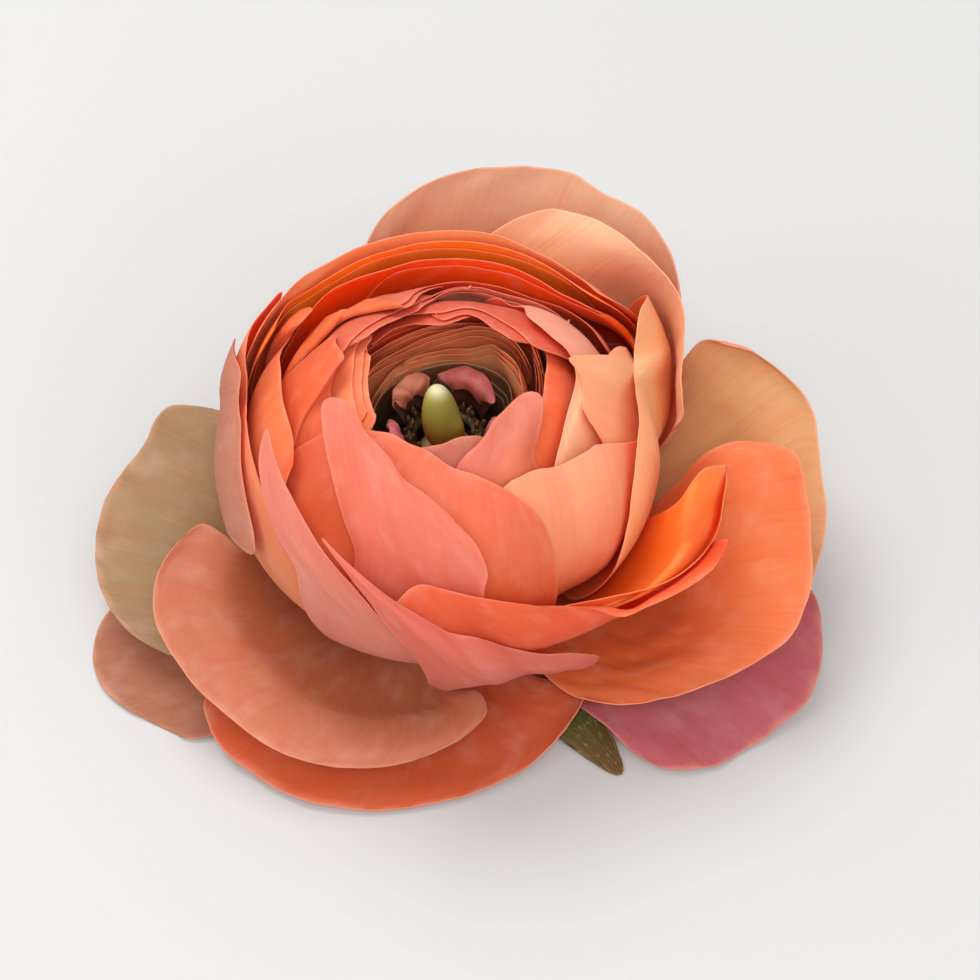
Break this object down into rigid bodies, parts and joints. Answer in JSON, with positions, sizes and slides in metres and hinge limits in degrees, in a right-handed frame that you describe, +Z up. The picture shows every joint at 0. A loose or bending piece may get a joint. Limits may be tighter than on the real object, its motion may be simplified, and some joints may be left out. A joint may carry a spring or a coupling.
{
  "type": "ranunculus flower",
  "caption": "Picked ranunculus bloom lying face up: a ball of overlapping coral petals round an open throat with a green seed cone, on drooping guard petals and a cut stem stub.",
  "frame": {"origin": "centre of the bounding box's footprint, on the surface the bloom rests on", "axes": "+Z up along the stem towards the throat; -Y is the side nearest the camera"},
  "size_m": [0.0978, 0.079, 0.0448],
  "materials": {
    "petal_coral": "soft satin petal, coral to salmon",
    "petal_outer_guard": "soft satin petal, peach and orange",
    "throat_tan": "soft matt petal, tan",
    "heart_pink": "soft matt petal, dusky pink",
    "carpel_olive": "waxy olive green",
    "green_stem": "waxy green and olive brown"
  },
  "bodies": {
    "root": {"throat_petal_back_inner": "throat_tan", "throat_petal_front_inner": "throat_tan", "throat_petal_back_mid": "throat_tan", "throat_petal_front_mid": "throat_tan", "throat_petal_back_outer": "throat_tan", "throat_petal_back_rim": "throat_tan", "throat_petal_left_rim": "throat_tan", "under_petal_right": "petal_coral", "under_petal_left": "petal_coral", "dome_petal_front_inner": "petal_coral", "dome_petal_right_inner": "petal_coral", "dome_petal_front_strip": "petal_coral", "dome_petal_back_inner": "petal_coral", "dome_petal_left_inner": "petal_coral", "under_petal_front": "petal_coral", "dome_petal_right_pale": "petal_coral", "dome_petal_back_mid": "petal_coral", "dome_petal_back_outer": "petal_coral", "dome_petal_right_bright": "petal_coral", "dome_petal_right_outer": "petal_coral", "dome_petal_left_rim": "petal_coral", "dome_petal_front_right": "petal_coral", "dome_petal_front_broad": "petal_coral", "dome_petal_front_left": "petal_coral", "cup_petal_back_inner": "petal_coral", "cup_petal_left_inner": "petal_coral", "cup_petal_back_mid": "petal_coral", "cup_petal_back_outer": "petal_coral", "cup_petal_left_mid": "petal_coral", "cup_petal_right_side": "petal_coral", "cup_petal_right_inner": "petal_coral", "cup_petal_front_left_inner": "petal_coral", "cup_petal_right_outer": "petal_coral", "cup_petal_left_outer": "petal_coral", "cup_petal_front_outer": "petal_coral", "guard_petal_back_right_inner": "petal_outer_guard", "guard_petal_right_raised": "petal_outer_guard", "guard_petal_front_left_upper": "petal_outer_guard", "guard_petal_back": "petal_outer_guard", "guard_petal_left": "petal_outer_guard", "guard_petal_front_lower": "petal_outer_guard", "guard_petal_right": "petal_outer_guard", "guard_petal_front_right_lower": "petal_outer_guard", "guard_petal_left_lower": "petal_outer_guard", "sepal_front_right": "green_stem", "sepal_right": "green_stem", "sepal_back": "green_stem", "sepal_left": "green_stem", "sepal_front": "green_stem", "petaloid_back_right": "heart_pink", "petaloid_back_left": "heart_pink", "petaloid_left": "heart_pink", "petaloid_front": "heart_pink", "petaloid_right": "heart_pink", "receptacle": "green_stem", "stem_stub": "green_stem", "carpel_cone": "carpel_olive", "stamen_ring": "carpel_olive"}
  },
  "joints": []
}
